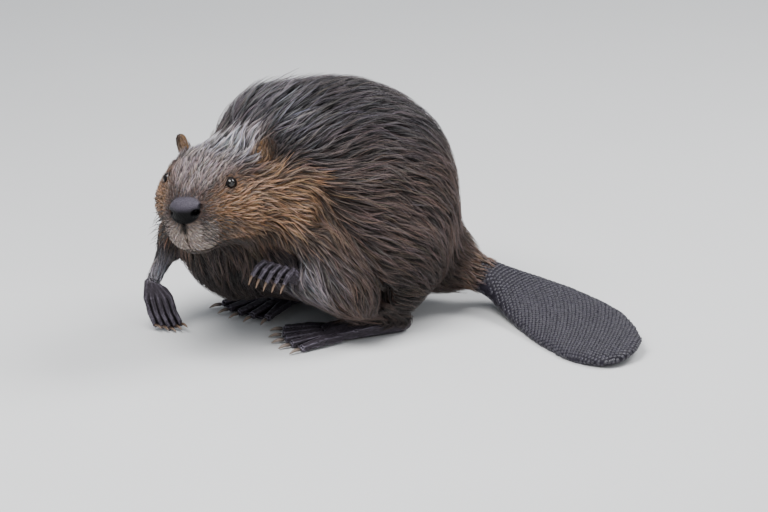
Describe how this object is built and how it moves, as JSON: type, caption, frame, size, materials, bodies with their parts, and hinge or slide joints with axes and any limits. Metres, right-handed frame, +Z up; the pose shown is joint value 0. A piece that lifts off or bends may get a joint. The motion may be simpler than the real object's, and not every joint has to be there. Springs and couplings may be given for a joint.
{
  "type": "beaver",
  "caption": "Life-size still model of an adult beaver, crouching with one forepaw raised, its head turned and its flat tail swung to its left.",
  "frame": {"origin": "on the floor, under the middle of the bounding box", "axes": "+X the animal's left, the side its tail is swung to; -Y the way its body faces; +Z up"},
  "size_m": [0.4672, 0.5364, 0.3049],
  "materials": {
    "body_coat": "wet dark-brown guard hair with lighter brown tips",
    "cheek_coat": "golden-brown guard hair",
    "face_coat": "short grey-brown hair, sleek and damp",
    "nose_leather": "moist, finely pebbled",
    "eye": "glossy",
    "paw_skin": "wrinkled, damp",
    "claw": "smooth horn",
    "tail_scales": "scaly, damp"
  },
  "bodies": {
    "root": {"head": "face_coat", "lower_jaw": "cheek_coat", "nose_pad": "nose_leather", "left_eye": "eye", "left_ear": "body_coat", "right_eye": "eye", "right_ear": "body_coat", "neck": "cheek_coat", "trunk": "body_coat", "tail_root": "cheek_coat", "tail_blade": "tail_scales", "left_upper_arm": "body_coat", "left_forearm": "body_coat", "left_forepaw": "paw_skin", "left_fore_claw_1": "claw", "left_fore_claw_2": "claw", "left_fore_claw_3": "claw", "left_fore_claw_4": "claw", "left_fore_claw_5": "claw", "right_upper_arm": "body_coat", "right_forearm": "body_coat", "right_forepaw": "paw_skin", "right_fore_claw_1": "claw", "right_fore_claw_2": "claw", "right_fore_claw_3": "claw", "right_fore_claw_4": "claw", "right_fore_claw_5": "claw", "left_thigh": "body_coat", "left_hind_foot": "paw_skin", "left_hind_claw_1": "claw", "left_hind_claw_2": "claw", "left_hind_claw_3": "claw", "left_hind_claw_4": "claw", "left_hind_claw_5": "claw", "right_thigh": "body_coat", "right_hind_foot": "paw_skin", "right_hind_claw_1": "claw", "right_hind_claw_2": "claw", "right_hind_claw_3": "claw", "right_hind_claw_4": "claw", "right_hind_claw_5": "claw"}
  },
  "joints": []
}
